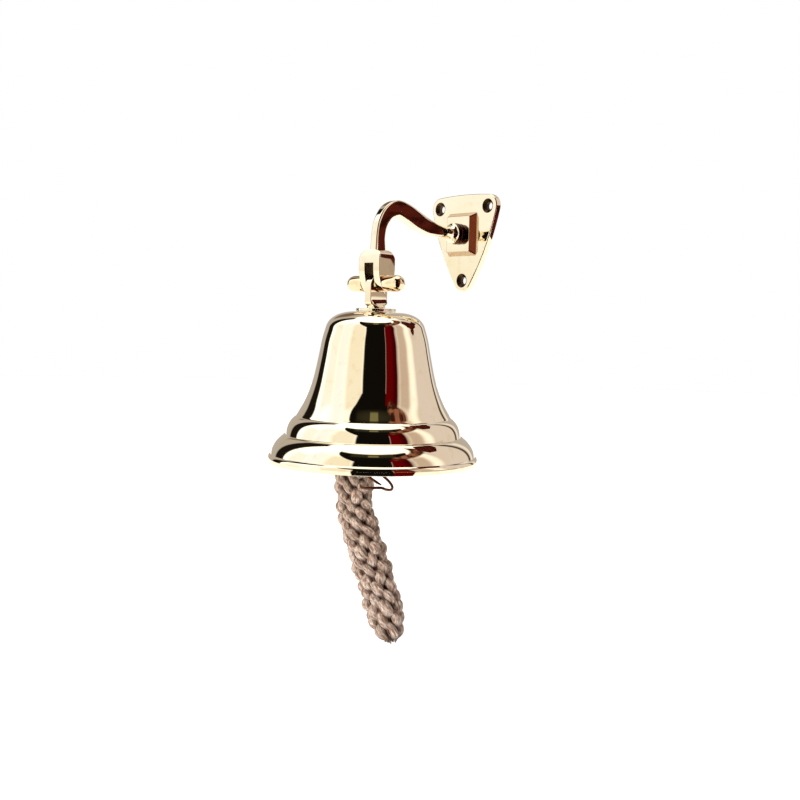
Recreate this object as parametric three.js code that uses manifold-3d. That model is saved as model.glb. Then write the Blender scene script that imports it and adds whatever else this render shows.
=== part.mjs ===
// Ship's bell on a wall bracket. Millimetres, +Z up.
// The origin lies on the back face of the wall plate, midway between its two upper screw
// holes. +Y points into the wall, the arm reaches out along -Y, and +X is to the right.
// Pieces of the bell are drawn about the bell's own axis, with heights above its mouth.

import * as THREE from 'three';
import * as BufferGeometryUtils from 'three/addons/utils/BufferGeometryUtils.js';
import Module from 'manifold-3d';

const wasm = await Module();
wasm.setup();

// Layout
const WALL_TO_BELL_AXIS = 77;
const MOUTH_BELOW_ORIGIN = 157;
const ARM_HEIGHT = 140;             // arm's axis at the plate, above the bell's mouth
const PIVOT_HEIGHT = 106;           // pivot pin's axis above the mouth
const CLAPPER_PIVOT_HEIGHT = 70.5;
const FIT_GAP = 0.3;                // between pieces that touch
const PIVOT_GAP = 0.1;              // radial running clearance on the pivot pin

// Wall plate
const PLATE_THICKNESS = 4.2;
const HOLE_SPREAD = 20.5;           // upper screw holes from the centreline
const LOWER_HOLE_DROP = 46;
const SCREW_HOLE_RADIUS = 2.4;
const COUNTERSINK_RADIUS = 4.2;
const UPPER_LOBE_RADIUS = 7.2;
const LOWER_LOBE_RADIUS = 7;
const BOSS_HEIGHT = 4.6;            // how far the boss stands off the plate
const BOSS_FACE = [19.4, 22.4];
const BOSS_FOOT = [24, 27];

// Arm, collar and fork
const FORK_WIDTH = 18;              // along the pin
const FORK_DEPTH = 12.8;
const FORK_SLOT = 7.8;
const FORK_SLOT_TOP = 118;
const FORK_SHOULDER = 121.2;
const FORK_TOP = 125.6;
const FORK_TIP = 101.2;
const COLLAR_RADIUS = 6.6;
const SPIGOT_RADIUS = 4;

// Pin
const PIN_RADIUS = 3;
const PIN_THREAD_RADIUS = 2.5;
const PIN_HEAD_RADIUS = 4.8;
const PIN_HEAD_REACH = 24;
const CAP_NUT_REACH = 22.4;

// Bell
const CROWN_HEIGHT = 89.4;
const CROWN_INSIDE = 85.6;
const MOUTH_RADIUS = 62.5;
const STUD_RADIUS = 4;
const STUD_HOLE_RADIUS = 4.3;
const WASHER_RADIUS = 11.8;
const LUG_THICKNESS = 5;
const LUG_HALF_WIDTH = 6.7;

// Clapper
const EYE_RADIUS = 5.1;             // centreline of the crown eye and of the clapper's loop
const EYE_WIRE_RADIUS = 1.9;
const LOOP_WIRE_RADIUS = 1.8;
const ROD_RADIUS = 2.6;
const BALL_RADIUS = 15.5;
const BALL_HEIGHT = 19;
const TAIL_HOLE_HEIGHT = -4.2;
const TAIL_RADIUS = 4.4;
const TAIL_HOLE_RADIUS = 2.5;
const TAIL_THICKNESS = 3.2;

// Wire ring and rope
const RING_RADIUS = 10.3;           // its longer half; the wire is bent to an oval
const RING_OVAL = 0.72;             // its shorter half over its longer one
const RING_WIRE_RADIUS = 0.7;
const ROPE_RADIUS = 10.6;
const ROPE_STRAND_RADIUS = 1.8;

const brass = (color, roughness) => new THREE.MeshStandardMaterial({
  color, roughness, metalness: 1,
});
const POLISHED_BRASS = brass(0xe3c06a, 0.08);
const TURNED_BRASS = brass(0xd8b25a, 0.2);
const CAST_BRASS = brass(0xb98f45, 0.35);
const BRASS_WIRE = brass(0xb98a3a, 0.25);
const ZINC_STEEL = new THREE.MeshStandardMaterial({ color: 0xb9bcc0, roughness: 0.35, metalness: 1 });
const COTTON = new THREE.MeshStandardMaterial({ color: 0xcdb89c, roughness: 0.95, metalness: 0 });

// ---- Helpers -----------------------------------------------------------------------------

function toSolid(geometry) {
  const bare = geometry.index ? geometry.toNonIndexed() : geometry.clone();
  for (const name of Object.keys(bare.attributes)) {
    if (name !== 'position') bare.deleteAttribute(name);
  }
  const merged = BufferGeometryUtils.mergeVertices(bare, 1e-4);
  const corners = merged.index.array;
  const kept = [];
  for (let i = 0; i < corners.length; i += 3) {
    const [a, b, c] = [corners[i], corners[i + 1], corners[i + 2]];
    if (a !== b && b !== c && c !== a) kept.push(a, b, c);
  }
  return new wasm.Manifold(new wasm.Mesh({
    numProp: 3,
    vertProperties: new Float32Array(merged.attributes.position.array),
    triVerts: new Uint32Array(kept),
  }));
}

function toGeometry(solid) {
  const mesh = solid.getMesh();
  const geometry = new THREE.BufferGeometry();
  geometry.setAttribute('position', new THREE.BufferAttribute(mesh.vertProperties, 3));
  geometry.setIndex(new THREE.BufferAttribute(mesh.triVerts, 1));
  return geometry;
}

const add = (...geometries) => toGeometry(geometries.map(toSolid).reduce((a, b) => a.add(b)));
const cut = (base, ...tools) => toGeometry(
  tools.map(toSolid).reduce((a, b) => a.subtract(b), toSolid(base)));
const common = (a, b) => toGeometry(toSolid(a).intersect(toSolid(b)));

const point = (x, y) => new THREE.Vector2(x, y);

// Turns a profile of [radius, height] about +Z. A profile that stays off the axis is closed.
function turned(profile, segments = 48) {
  const points = profile.map(([r, h]) => point(r, h));
  if (THREE.ShapeUtils.isClockWise(points)) points.reverse();
  const onAxis = points[0].x === 0 && points[points.length - 1].x === 0;
  if (!onAxis) points.push(points[0].clone());
  return new THREE.LatheGeometry(points, segments).rotateX(Math.PI / 2);
}

const alongX = (geometry) => geometry.rotateY(Math.PI / 2);
const alongY = (geometry) => geometry.rotateX(-Math.PI / 2);
const alongMinusY = (geometry) => geometry.rotateX(Math.PI / 2);

function rod(radius, from, to, segments = 24) {
  return turned([[0, from], [radius, from], [radius, to], [0, to]], segments);
}

// A side view drawn in (y, z), as thick as width along X, centred on x = 0.
function extrudedAlongX(shape, width, curveSegments = 12) {
  const geometry = new THREE.ExtrudeGeometry(shape, {
    depth: width, bevelEnabled: false, curveSegments,
  });
  const basis = new THREE.Matrix4().makeBasis(
    new THREE.Vector3(0, 1, 0), new THREE.Vector3(0, 0, 1), new THREE.Vector3(1, 0, 0));
  return geometry.applyMatrix4(basis).translate(-width / 2, 0, 0);
}

// A front view drawn in (x, z), from y = back to y = back - depth.
function extrudedAlongY(shape, depth, back, curveSegments = 12) {
  const geometry = new THREE.ExtrudeGeometry(shape, {
    depth, bevelEnabled: false, curveSegments,
  });
  const basis = new THREE.Matrix4().makeBasis(
    new THREE.Vector3(1, 0, 0), new THREE.Vector3(0, 0, 1), new THREE.Vector3(0, -1, 0));
  return geometry.applyMatrix4(basis).translate(0, back, 0);
}

// Closed skin over equal rings of points, with a fan at each end.
function loft(rings) {
  const count = rings[0].length;
  const positions = rings.flat().flatMap((p) => [p.x, p.y, p.z]);
  const faces = [];
  for (let i = 0; i + 1 < rings.length; i += 1) {
    for (let j = 0; j < count; j += 1) {
      const a = i * count + j;
      const b = i * count + (j + 1) % count;
      faces.push(a, b, b + count, a, b + count, a + count);
    }
  }
  const last = (rings.length - 1) * count;
  for (let j = 1; j + 1 < count; j += 1) {
    faces.push(0, j + 1, j, last, last + j, last + j + 1);
  }
  const geometry = new THREE.BufferGeometry();
  geometry.setAttribute('position', new THREE.Float32BufferAttribute(positions, 3));
  geometry.setIndex(faces);
  return geometry;
}

// Outline between a rectangle and an ellipse: the power says how square its corners are.
function roundedOutline(halfWidth, halfHeight, power, count = 24) {
  return Array.from({ length: count }, (_, i) => {
    const angle = (i + 0.5) / count * 2 * Math.PI;
    const reach = (v) => Math.sign(v) * Math.abs(v) ** (2 / power);
    return point(halfWidth * reach(Math.cos(angle)), halfHeight * reach(Math.sin(angle)));
  });
}

// Round tube along a curve, with flat ends.
function tube(curve, radius, steps, sides = 10) {
  const section = new THREE.Shape(roundedOutline(radius, radius, 2, sides));
  return new THREE.ExtrudeGeometry(section, { steps, extrudePath: curve, bevelEnabled: false });
}

// Torus about +Z.
function torus(radius, wireRadius, segments = 24, sides = 10) {
  const profile = roundedOutline(wireRadius, wireRadius, 2, sides).map((p) => [radius + p.x, p.y]);
  return turned(profile, segments);
}

function smoothProfile(points, divisions) {
  const curve = new THREE.SplineCurve(points.map(([r, h]) => point(r, h)));
  return curve.getPoints(divisions).map((p) => [p.x, p.y]);
}

function bentProfile(start, corner, end, divisions) {
  const curve = new THREE.QuadraticBezierCurve(point(...start), point(...corner), point(...end));
  return curve.getPoints(divisions).map((p) => [p.x, p.y]);
}

const model = new THREE.Group();
const bracket = new THREE.Group();
const bell = new THREE.Group();
bell.position.set(0, -WALL_TO_BELL_AXIS, -MOUTH_BELOW_ORIGIN);
model.add(bracket, bell);

function place(parent, name, geometry, material) {
  const mesh = new THREE.Mesh(geometry, material);
  mesh.name = name;
  parent.add(mesh);
}

// ---- Wall plate --------------------------------------------------------------------------

// Three lobes around the screw holes, joined by slightly bowed edges.
function plateOutline() {
  const turn = THREE.MathUtils.degToRad;
  const lobes = [
    { x: HOLE_SPREAD, z: 0, r: UPPER_LOBE_RADIUS, from: -14, to: 85 },
    { x: -HOLE_SPREAD, z: 0, r: UPPER_LOBE_RADIUS, from: 95, to: 194 },
    { x: 0, z: -LOWER_HOLE_DROP, r: LOWER_LOBE_RADIUS, from: 214, to: 326 },
  ];
  const shape = new THREE.Shape();
  const rim = (lobe, degrees) => {
    const angle = turn(degrees);
    return { x: lobe.x + lobe.r * Math.cos(angle), z: lobe.z + lobe.r * Math.sin(angle), angle };
  };
  // Where the tangents at two rim points meet.
  const corner = (a, b) => {
    const [ax, az] = [-Math.sin(a.angle), Math.cos(a.angle)];
    const [bx, bz] = [-Math.sin(b.angle), Math.cos(b.angle)];
    const t = ((b.x - a.x) * bz - (b.z - a.z) * bx) / (ax * bz - az * bx);
    return [a.x + t * ax, a.z + t * az];
  };
  lobes.forEach((lobe, i) => {
    const next = lobes[(i + 1) % lobes.length];
    const start = rim(lobe, lobe.from);
    const leave = rim(lobe, lobe.to);
    const arrive = rim(next, next.from);
    if (i === 0) shape.moveTo(start.x, start.z);
    shape.absarc(lobe.x, lobe.z, lobe.r, turn(lobe.from), turn(lobe.to), false);
    shape.quadraticCurveTo(...corner(leave, arrive), arrive.x, arrive.z);
  });
  return shape;
}

// Drawn by distance from the wall.
function screwHole(x, z) {
  const front = PLATE_THICKNESS;
  const sink = COUNTERSINK_RADIUS - SCREW_HOLE_RADIUS;
  const profile = [
    [0, -1], [SCREW_HOLE_RADIUS, -1], [SCREW_HOLE_RADIUS, front - sink],
    [COUNTERSINK_RADIUS, front], [COUNTERSINK_RADIUS, front + 1], [0, front + 1],
  ];
  return alongMinusY(turned(profile, 28)).translate(x, 0, z);
}

function wallPlate() {
  const armZ = ARM_HEIGHT - MOUTH_BELOW_ORIGIN;
  const plate = extrudedAlongY(plateOutline(), PLATE_THICKNESS, 0, 10);
  const bossRing = ([width, height], y) => roundedOutline(width / 2, height / 2, 14, 24)
    .map((p) => new THREE.Vector3(p.x, y, armZ + p.y));
  const boss = loft([
    bossRing(BOSS_FOOT, -PLATE_THICKNESS + 1),
    bossRing(BOSS_FOOT, -PLATE_THICKNESS),
    bossRing(BOSS_FACE, -PLATE_THICKNESS - BOSS_HEIGHT),
  ]);
  const front = PLATE_THICKNESS + BOSS_HEIGHT;
  const spigotPocket = rod(SPIGOT_RADIUS + FIT_GAP, front - 2.6, front + 1);
  const screwWay = rod(2.8, 0, front, 24);
  const headRecess = rod(6, -1, 3.6);
  const bores = [spigotPocket, screwWay, headRecess]
    .map((bore) => alongMinusY(bore).translate(0, 0, armZ));
  const holes = [
    screwHole(HOLE_SPREAD, 0), screwHole(-HOLE_SPREAD, 0), screwHole(0, -LOWER_HOLE_DROP),
  ];
  return cut(add(plate, boss), ...bores, ...holes);
}

// ---- Swan-neck arm with its collar and fork ------------------------------------------------

// Stations of the arm: distance from the bell's axis, height, width along X, thickness and
// how square the section is. It rises from the fork, arches over and falls to the collar.
const ARM_STATIONS = [
  [0.4, 122.0, 6.2, 9.6, 5],
  [0.5, 127.5, 5.4, 8.0, 5],
  [0.6, 134.0, 5.2, 7.3, 5],
  [2.2, 141.5, 5.3, 7.6, 4.5],
  [7.0, 148.3, 5.6, 8.6, 4],
  [14.0, 151.2, 6.0, 9.5, 3.6],
  [22.0, 149.3, 6.4, 10.4, 3.2],
  [32.0, 145.0, 6.8, 10.3, 3],
  [41.0, 142.0, 6.8, 9.2, 2.8],
  [50.0, 140.4, 6.6, 7.4, 2.4],
  [57.5, ARM_HEIGHT, 6.5, 6.5, 2],
  [62.0, ARM_HEIGHT, 6.5, 6.5, 2],
];
const ARM_STEPS = 24;

function armSweep() {
  const path = new THREE.CatmullRomCurve3(
    ARM_STATIONS.map(([y, z]) => new THREE.Vector3(0, y, z)), false, 'centripetal');
  const sizes = new THREE.CatmullRomCurve3(
    ARM_STATIONS.map(([, , width, thickness, power]) => new THREE.Vector3(width, thickness, power)),
    false, 'catmullrom', 0.3);
  const rings = [];
  for (let i = 0; i <= ARM_STEPS; i += 1) {
    const t = i / ARM_STEPS;
    const centre = path.getPoint(t);
    const tangent = path.getTangent(t);
    const { x: width, y: thickness, z: power } = sizes.getPoint(t);
    const upward = new THREE.Vector3(0, -tangent.z, tangent.y);
    rings.push(roundedOutline(width / 2, thickness / 2, power, 16).map((p) => centre.clone()
      .addScaledVector(upward, p.y).add(new THREE.Vector3(p.x, 0, 0))));
  }
  rings.forEach((ring) => ring.reverse());
  return loft(rings);
}

function collar() {
  const face = WALL_TO_BELL_AXIS - PLATE_THICKNESS - BOSS_HEIGHT;
  const profile = [
    [0, face - 11.5], [3.2, face - 11.5], [3.6, face - 8.5], [4.6, face - 6.6], [6.1, face - 5.4],
    [6.3, face - 5], [6.3, face - 3.1], [5.8, face - 2.8], [5.8, face - 2.4],
    [COLLAR_RADIUS, face - 2], [COLLAR_RADIUS, face - FIT_GAP], [SPIGOT_RADIUS, face - FIT_GAP],
    [SPIGOT_RADIUS, face + 2.3], [0, face + 2.3],
  ];
  const solid = turned(profile, 28);
  const threadHole = rod(PIN_THREAD_RADIUS + FIT_GAP, face - 5.5, face + 3, 24);
  return alongY(cut(solid, threadHole)).translate(0, 0, ARM_HEIGHT);
}

function forkBlock() {
  const half = FORK_DEPTH / 2;
  const side = new THREE.Shape();
  const springing = 116;
  side.moveTo(-half, springing);
  side.absellipse(0, springing, half, springing - FORK_TIP, Math.PI, 2 * Math.PI, false);
  side.lineTo(half, FORK_SHOULDER);
  side.lineTo(4.6, FORK_TOP);
  side.lineTo(-4.2, FORK_TOP);
  side.lineTo(-half, FORK_SHOULDER);
  const front = new THREE.Shape();
  const halfWidth = FORK_WIDTH / 2;
  front.moveTo(-halfWidth, FORK_TIP - 1);
  front.lineTo(halfWidth, FORK_TIP - 1);
  front.lineTo(halfWidth, FORK_SHOULDER);
  front.quadraticCurveTo(halfWidth - 2, FORK_TOP - 1.2, 2.4, FORK_TOP + 0.4);
  front.lineTo(-2.4, FORK_TOP + 0.4);
  front.quadraticCurveTo(-halfWidth + 2, FORK_TOP - 1.2, -halfWidth, FORK_SHOULDER);
  const block = common(
    extrudedAlongX(side, FORK_WIDTH + 2, 12),
    extrudedAlongY(front, FORK_DEPTH + 2, half + 1, 5));
  const slot = new THREE.Shape();
  const slotHalf = FORK_SLOT / 2;
  slot.moveTo(-slotHalf, FORK_TIP - 3);
  slot.lineTo(slotHalf, FORK_TIP - 3);
  slot.lineTo(slotHalf, FORK_SLOT_TOP - 0.8);
  slot.lineTo(slotHalf - 0.8, FORK_SLOT_TOP);
  slot.lineTo(-slotHalf + 0.8, FORK_SLOT_TOP);
  slot.lineTo(-slotHalf, FORK_SLOT_TOP - 0.8);
  const pinHole = alongX(rod(PIN_RADIUS + FIT_GAP / 2, -halfWidth - 2, halfWidth + 2, 28));
  return cut(block, extrudedAlongY(slot, FORK_DEPTH + 4, half + 2),
    pinHole.translate(0, 0, PIVOT_HEIGHT));
}

// Drawn about the bell's axis, then moved into the bracket's frame.
const swanNeckArm = () => add(forkBlock(), armSweep(), collar())
  .translate(0, -WALL_TO_BELL_AXIS, -MOUTH_BELOW_ORIGIN);

// Screw and washer that hold the arm to the plate, in the recess at the plate's back. Both
// are drawn about +Z with the head's seat at z = 0, then turned to point along -Y.
const SCREW_SEAT = -3.6;
const behindArm = (geometry) => alongMinusY(geometry)
  .translate(0, SCREW_SEAT, ARM_HEIGHT - MOUTH_BELOW_ORIGIN);

function armScrew() {
  const length = 9;
  const slot = new THREE.BoxGeometry(1.1, 12, 2).translate(0, 0, -3.2);
  const profile = [
    [0, length], [2, length], [2.5, length - 0.6], [2.5, -1.2], [4.6, -1.2], [4.6, -2.6],
    [4, -3.3], [0, -3.3],
  ];
  return behindArm(cut(turned(profile, 28), slot));
}

// One turn of square wire with a small gap and a slight rise between its ends.
function springWasher() {
  const turns = 24;
  const gapAngle = 0.16;
  const rings = [];
  for (let i = 0; i <= turns; i += 1) {
    const angle = gapAngle / 2 + (2 * Math.PI - gapAngle) * i / turns;
    const rise = 0.15 * (i / turns - 0.5);
    rings.push([[2.9, -0.9], [4.6, -0.9], [4.6, -0.3], [2.9, -0.3]].map(([r, z]) =>
      new THREE.Vector3(r * Math.cos(angle), r * Math.sin(angle), z + rise)));
  }
  rings.forEach((ring) => ring.reverse());
  return behindArm(loft(rings));
}

// ---- Pivot pin and its cap nut -------------------------------------------------------------

// A barrel head with a full round end, from the cheek at `near` out to `far`.
function roundEnd(near, far, divisions = 5) {
  const dome = 5.2;
  const points = [[PIN_HEAD_RADIUS - 0.3, near], [PIN_HEAD_RADIUS, near + 0.4]];
  for (let i = 0; i <= divisions; i += 1) {
    const angle = i / divisions * Math.PI / 2;
    const radius = i === divisions ? 0 : PIN_HEAD_RADIUS * Math.cos(angle);
    points.push([radius, far - dome + dome * Math.sin(angle)]);
  }
  return points;
}

const onPivot = (geometry) => alongX(geometry)
  .translate(0, -WALL_TO_BELL_AXIS, PIVOT_HEIGHT - MOUTH_BELOW_ORIGIN);

function pivotPin() {
  const cheek = FORK_WIDTH / 2;
  const head = roundEnd(cheek + FIT_GAP, PIN_HEAD_REACH).map(([r, h]) => [r, -h]).reverse();
  const shank = [
    [PIN_RADIUS, -cheek - FIT_GAP], [PIN_RADIUS, cheek - 0.2],
    [PIN_THREAD_RADIUS, cheek - 0.2], [PIN_THREAD_RADIUS, 15.4], [2, 16], [0, 16],
  ];
  return onPivot(turned([...head, ...shank], 28));
}

function pivotCapNut() {
  const near = FORK_WIDTH / 2 + FIT_GAP;
  const bore = rod(PIN_THREAD_RADIUS + FIT_GAP, near - 1, 16.6, 24);
  const body = turned([[0, near], ...roundEnd(near, CAP_NUT_REACH)], 28);
  return onPivot(cut(body, bore));
}

// ---- Bell, hanger and washers --------------------------------------------------------------

function bellHanger() {
  const side = new THREE.Shape();
  const springing = 104;
  const lugTop = 111.3;
  side.moveTo(-LUG_HALF_WIDTH, 95.6);
  side.lineTo(LUG_HALF_WIDTH, 95.6);
  side.lineTo(LUG_HALF_WIDTH, springing);
  side.absellipse(0, springing, LUG_HALF_WIDTH, lugTop - springing, 0, Math.PI, false);
  const lug = extrudedAlongX(side, LUG_THICKNESS, 16);
  // Foot: from the lug's own section through a flared block to a round flange.
  const sections = [
    [2.5, LUG_HALF_WIDTH, 14, 97], [2.7, LUG_HALF_WIDTH, 12, 95.6], [3.6, LUG_HALF_WIDTH, 8, 94],
    [4.6, 5.4, 3, 92.6], [5.4, 5.4, 2, 91.7 + FIT_GAP], [5.4, 5.4, 2, 91.3 + FIT_GAP],
  ];
  const foot = loft(sections.map(([x, y, power, z]) => roundedOutline(x, y, power, 24)
    .map((p) => new THREE.Vector3(p.x, p.y, z)).reverse()));
  const stud = rod(STUD_RADIUS, 78.9, 92, 28);
  const pinHole = alongX(rod(PIN_RADIUS + PIVOT_GAP, -6, 6, 28)).translate(0, 0, PIVOT_HEIGHT);
  return cut(add(lug, foot, stud), pinHole);
}

const washer = (radius, bore, from, to) => turned([
  [bore, from], [radius - 0.3, from], [radius, from + 0.4], [radius, to - 0.4],
  [radius - 0.3, to], [bore, to],
], 32);

function bellShell() {
  const shoulder = new THREE.CubicBezierCurve(
    point(12.5, CROWN_HEIGHT), point(20.5, CROWN_HEIGHT - 0.2), point(27.4, 86.4),
    point(29.2, 80.4)).getPoints(5).map((p) => [p.x, p.y]);
  const waist = smoothProfile(
    [[29.2, 80.4], [31.3, 73], [33.4, 62], [36.4, 48.5], [40.6, 37], [46.1, 27.1]], 9);
  const upperBand = bentProfile([46.8, 26.6], [51, 23.5], [52, 16.4], 4);
  const lowerBand = bentProfile([53.2, 15.9], [59.4, 11.5], [60.7, 5], 4);
  const lip = bentProfile([61.5, 4.5], [MOUTH_RADIUS + 0.3, 3], [MOUTH_RADIUS - 0.4, 0], 3);
  const inside = smoothProfile([
    [58.8, 0], [52.9, 10], [46.4, 20], [40.9, 30], [36.5, 40], [33.1, 50], [30.7, 60],
    [28.9, 70], [27, 78],
  ], 10);
  const dome = bentProfile([27, 78], [25.4, CROWN_INSIDE], [13, CROWN_INSIDE], 4);
  return turned([
    [STUD_HOLE_RADIUS, CROWN_HEIGHT], ...shoulder, ...waist.slice(1), ...upperBand,
    ...lowerBand, ...lip, ...inside, ...dome.slice(1), [STUD_HOLE_RADIUS, CROWN_INSIDE],
  ], 48);
}

// Hexagon nut on the hanger's stud, with the clapper's eye cast below it.
function clapperEyeNut() {
  const [top, bottom, acrossCorners] = [83.8, 76.6, 8.1];
  const hexagon = turned([
    [0, bottom], [acrossCorners - 0.8, bottom], [acrossCorners, bottom + 0.9],
    [acrossCorners, top - 0.9], [acrossCorners - 0.8, top], [0, top],
  ], 6);
  const eyeCentre = CLAPPER_PIVOT_HEIGHT + EYE_RADIUS - EYE_WIRE_RADIUS - LOOP_WIRE_RADIUS - FIT_GAP;
  const eye = alongX(torus(EYE_RADIUS, EYE_WIRE_RADIUS)).translate(0, 0, eyeCentre);
  const root = turned([[0, 75.6], [2.6, 75.6], [4.6, bottom + 0.2], [0, bottom + 0.2]], 24);
  const bore = rod(STUD_RADIUS + FIT_GAP, 78.5, top + 1, 28);
  return cut(add(hexagon, root, eye), bore);
}

// ---- Clapper -------------------------------------------------------------------------------

function clapperRod() {
  const loopCentre = CLAPPER_PIVOT_HEIGHT - EYE_RADIUS;
  const loop = alongY(torus(EYE_RADIUS, LOOP_WIRE_RADIUS)).translate(0, 0, loopCentre);
  const shaftTop = loopCentre - EYE_RADIUS;
  const shaft = turned([
    [0, TAIL_HOLE_HEIGHT + 3], [1.9, TAIL_HOLE_HEIGHT + 3], [ROD_RADIUS, 2], [ROD_RADIUS, 56],
    [2, shaftTop], [0, shaftTop],
  ], 24);
  const tail = alongY(rod(TAIL_RADIUS, -TAIL_THICKNESS / 2, TAIL_THICKNESS / 2))
    .translate(0, 0, TAIL_HOLE_HEIGHT);
  const hole = alongY(rod(TAIL_HOLE_RADIUS, -4, 4)).translate(0, 0, TAIL_HOLE_HEIGHT);
  return cut(add(loop, shaft, tail), hole);
}

function clapperBall() {
  const bore = ROD_RADIUS + FIT_GAP;
  const flat = Math.acos(4.5 / BALL_RADIUS);
  const profile = [[bore, -BALL_RADIUS * Math.sin(flat)]];
  const divisions = 10;
  for (let i = 0; i <= divisions; i += 1) {
    const angle = -flat + 2 * flat * i / divisions;
    profile.push([BALL_RADIUS * Math.cos(angle), BALL_RADIUS * Math.sin(angle)]);
  }
  profile.push([bore, BALL_RADIUS * Math.sin(flat)]);
  return turned(profile, 28).translate(0, 0, BALL_HEIGHT);
}

// ---- Wire ring -----------------------------------------------------------------------------

// The ring lies in a tilted plane. `down` is its long way as seen from the front right and
// `away` is square to it. It runs through the clapper's tail at THREAD_ANGLE, closes past
// JOIN_ANGLE, and its other end hooks into the side of the rope.
const RING_DOWN = new THREE.Vector3(0.583, 0.615, -0.53).normalize();
const RING_AWAY = new THREE.Vector3(-0.562, 0.774, 0.28).normalize();
const RING_NORMAL = new THREE.Vector3().crossVectors(RING_DOWN, RING_AWAY);
const THREAD_ANGLE = 121;
const JOIN_ANGLE = 296;
const OVERLAP = 352;
const OVERLAP_LIFT = 1.7;
const RING_HOOK = [[-5.2, -5.0, -14.0], [0.2, -8.6, -14.5], [6.6, -9.6, -14.1]];

function ringPoint(degrees, lift = 0) {
  const angle = THREE.MathUtils.degToRad(degrees);
  const thread = THREE.MathUtils.degToRad(THREAD_ANGLE);
  return new THREE.Vector3(0, 0, TAIL_HOLE_HEIGHT - 0.6)
    .addScaledVector(RING_DOWN, RING_RADIUS * (Math.cos(angle) - Math.cos(thread)))
    .addScaledVector(RING_AWAY, RING_OVAL * RING_RADIUS * (Math.sin(angle) - Math.sin(thread)))
    .addScaledVector(RING_NORMAL, lift);
}

function wireRing() {
  const points = RING_HOOK.map((p) => new THREE.Vector3(...p));
  for (let degrees = JOIN_ANGLE; degrees <= JOIN_ANGLE + OVERLAP; degrees += 16) {
    const lift = OVERLAP_LIFT * THREE.MathUtils.smoothstep(degrees, JOIN_ANGLE + 250, JOIN_ANGLE + 330);
    points.push(ringPoint(degrees, lift));
  }
  const curve = new THREE.CatmullRomCurve3(points, false, 'centripetal');
  return tube(curve, RING_WIRE_RADIUS, 44, 8);
}

// ---- Rope ----------------------------------------------------------------------------------

// Centreline of the rope in the plane of the wall: [x, height above the mouth].
const ROPE_ROUTE = [
  [-16.3, -1], [-16.4, -9], [-16.2, -17], [-15.3, -25], [-13.4, -33], [-10.4, -41], [-6.6, -49],
  [-2.4, -57], [2.0, -65], [6.5, -73], [10.9, -81], [14.8, -89], [17.8, -97], [19.8, -105],
];
const ROPE_EYE_ROUTE = [
  [-12.5, 1.15], [-6.5, 1.1], [-2.6, 0.3], [0.4, -0.8], [3.0, -2.6], [3.4, -5], [1.6, -7],
  [-1.6, -7.7], [-4.2, -8.2], [-6.6, -8.9],
];

const inFront = (route, y) => new THREE.CatmullRomCurve3(
  route.map(([x, z]) => new THREE.Vector3(x, y, z)), false, 'centripetal');

// ---- Assembly ------------------------------------------------------------------------------

place(bracket, 'wall_plate', wallPlate(), POLISHED_BRASS);
place(bracket, 'swan_neck_arm', swanNeckArm(), POLISHED_BRASS);
place(bracket, 'arm_screw', armScrew(), ZINC_STEEL);
place(bracket, 'arm_spring_washer', springWasher(), ZINC_STEEL);
place(bracket, 'pivot_pin', pivotPin(), TURNED_BRASS);
place(bracket, 'pivot_cap_nut', pivotCapNut(), TURNED_BRASS);

place(bell, 'bell_hanger', bellHanger(), POLISHED_BRASS);
place(bell, 'crown_washer', washer(WASHER_RADIUS, STUD_HOLE_RADIUS, 89.7, 91.3), POLISHED_BRASS);
place(bell, 'bell_shell', bellShell(), POLISHED_BRASS);
place(bell, 'inner_washer', washer(9.5, STUD_HOLE_RADIUS, 84.1, 85.3), CAST_BRASS);
place(bell, 'clapper_eye_nut', clapperEyeNut(), CAST_BRASS);
place(bell, 'clapper_rod', clapperRod(), CAST_BRASS);
place(bell, 'clapper_ball', clapperBall(), TURNED_BRASS);
place(bell, 'wire_ring', wireRing(), BRASS_WIRE);
place(bell, 'bell_rope', tube(inFront(ROPE_ROUTE, 0), ROPE_RADIUS, 30), COTTON);
place(bell, 'rope_eye', tube(inFront(ROPE_EYE_ROUTE, -5.6), ROPE_STRAND_RADIUS, 22, 8), COTTON);

export default model;
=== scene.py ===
"""Brass ship's bell on a swan-neck wall bracket, with a braided rope pull.

Lengths are millimetres until at() or on_wall() turns them into the frame's metres. Pieces of
the bell are drawn about the bell's own axis: x to the right, y towards the wall and heights
above the bell's mouth. The wall plate is drawn from the frame's own origin.
"""
import math
import random

import bmesh
import bpy
import numpy as np
from mathutils import Matrix, Vector


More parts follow.
